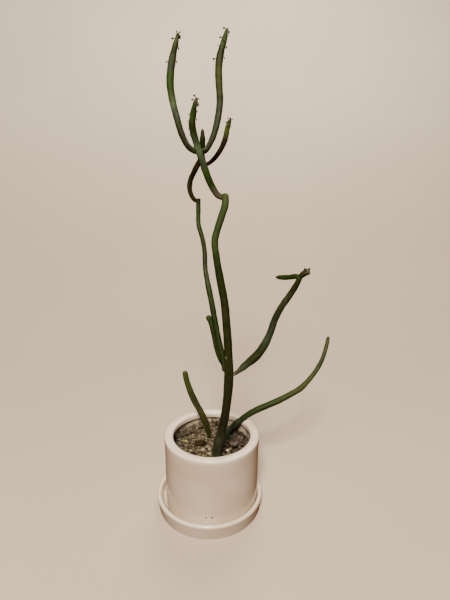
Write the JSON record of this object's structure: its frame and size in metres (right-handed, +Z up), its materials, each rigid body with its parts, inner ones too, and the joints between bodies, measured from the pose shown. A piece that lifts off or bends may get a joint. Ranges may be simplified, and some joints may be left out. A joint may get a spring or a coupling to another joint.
{
  "type": "potted euphorbia oncoclada",
  "caption": "Jointed, almost leafless pencil-stemmed succulent rooted in gravel-topped soil, in a cylindrical white glazed pot that stands in its saucer.",
  "frame": {"origin": "on the pot's axis, level with the saucer's flat underside", "axes": "+Z up, +X to the right and +Y to the back with the low, long stem reaching out to the right"},
  "size_m": [0.2051, 0.1305, 0.4941],
  "materials": {
    "white_glaze": "smooth off-white glaze, softly glossy",
    "dark_soil": "loose dark potting soil, matte",
    "pale_gravel": "fine beige grit with dark lava bits, matte",
    "grey_pebble": "worn brownish grey stone, matte",
    "dead_wood": "dark weathered bark, matte",
    "trunk_bark": "brownish green, lengthwise grey streaks, satin",
    "green_stem": "waxy olive green skin with grey streaks, satin",
    "young_stem": "waxy yellow-green young skin, satin"
  },
  "bodies": {
    "root": {"saucer": "white_glaze", "pot": "white_glaze", "potting_soil": "dark_soil", "gravel_topping": "pale_gravel", "large_pebble": "grey_pebble", "bark_chip": "dead_wood", "main_stem": "trunk_bark", "front_upper_stem": "green_stem", "front_middle_branch": "young_stem", "left_tall_branch": "green_stem", "right_tall_branch": "green_stem", "rear_stem": "green_stem", "rear_upper_stem": "green_stem", "rear_bud": "green_stem", "rear_right_branch": "young_stem", "short_left_shoot": "green_stem", "right_branch": "green_stem", "right_branchlet": "green_stem", "right_end_bud": "green_stem", "lower_right_stem": "young_stem", "lower_left_stem": "young_stem"}
  },
  "joints": []
}
